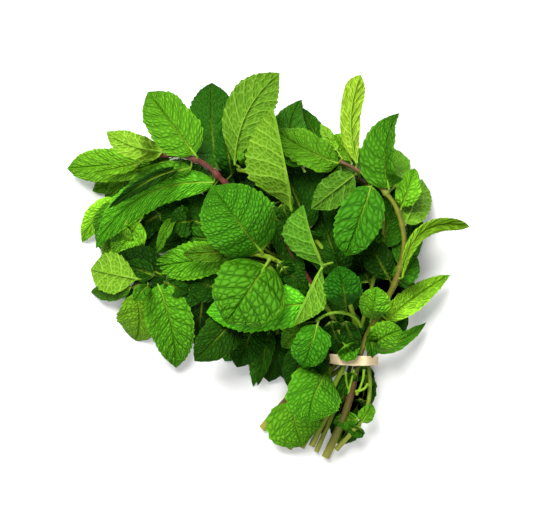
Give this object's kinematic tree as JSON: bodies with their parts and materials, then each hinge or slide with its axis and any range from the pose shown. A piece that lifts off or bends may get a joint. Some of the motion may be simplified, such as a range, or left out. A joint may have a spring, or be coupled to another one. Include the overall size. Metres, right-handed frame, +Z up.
{
  "type": "tied bunch of spearmint",
  "caption": "Bunch of cut spearmint lying on its side, leafy stems gathered to short bare ends and held by a flat rubber band.",
  "frame": {"origin": "on the ground under the middle of the bunch's box", "axes": "+X along the long side of the leafy spread, +Y from the cut stem ends to the leaves, +Z up from the surface that the bunch lies on"},
  "size_m": [0.2532, 0.2408, 0.0746],
  "materials": {
    "leaf_green": "satin green leaf, upper side, with sunk veins and raised quilting",
    "leaf_pale": "matt pale green leaf, under side, with raised veins",
    "stem_green": "satin olive green stem",
    "stem_red": "satin purple-red stem",
    "rubber_beige": "smooth matt cream rubber"
  },
  "bodies": {
    "root": {"leaf_7a": "leaf_green", "leaf_7b": "leaf_green", "leaf_7c": "leaf_green", "leaf_5c": "leaf_green", "leaf_8a": "leaf_green", "leaf_8b": "leaf_green", "leaf_8c": "leaf_green", "leaf_5g": "leaf_green", "leaf_5f": "leaf_green", "leaf_2a": "leaf_green", "leaf_1e": "leaf_green", "leaf_1f": "leaf_green", "leaf_1h": "leaf_green", "leaf_6a": "leaf_green", "leaf_6b": "leaf_green", "leaf_2b": "leaf_green", "leaf_3c": "leaf_green", "leaf_3a": "leaf_green", "leaf_6d": "leaf_pale", "leaf_1m": "leaf_green", "leaf_1g": "leaf_green", "leaf_1c": "leaf_green", "leaf_9b": "leaf_green", "leaf_9a": "leaf_green", "leaf_3g": "leaf_green", "leaf_3b": "leaf_green", "leaf_3e": "leaf_green", "leaf_5e": "leaf_pale", "leaf_5d": "leaf_green", "leaf_3d": "leaf_green", "leaf_3f": "leaf_pale", "leaf_1k": "leaf_pale", "leaf_1d": "leaf_green", "leaf_1b": "leaf_green", "leaf_1a": "leaf_green", "leaf_1l": "leaf_pale", "leaf_1i": "leaf_green", "leaf_6f": "leaf_green", "leaf_4a": "leaf_green", "leaf_4d": "leaf_green", "leaf_6c": "leaf_pale", "leaf_3i": "leaf_green", "leaf_3h": "leaf_green", "leaf_10a": "leaf_green", "leaf_6e": "leaf_pale", "leaf_10c": "leaf_green", "leaf_1j": "leaf_green", "leaf_4b": "leaf_green", "leaf_4c": "leaf_green", "stem_1": "stem_red", "stem_2": "stem_green", "stem_3": "stem_red", "stem_4": "stem_green", "stem_5": "stem_green", "stem_6": "stem_green", "stem_7": "stem_green", "stem_8": "stem_green", "stem_9": "stem_green", "stem_10": "stem_green", "rubber_band": "rubber_beige"}
  },
  "joints": []
}
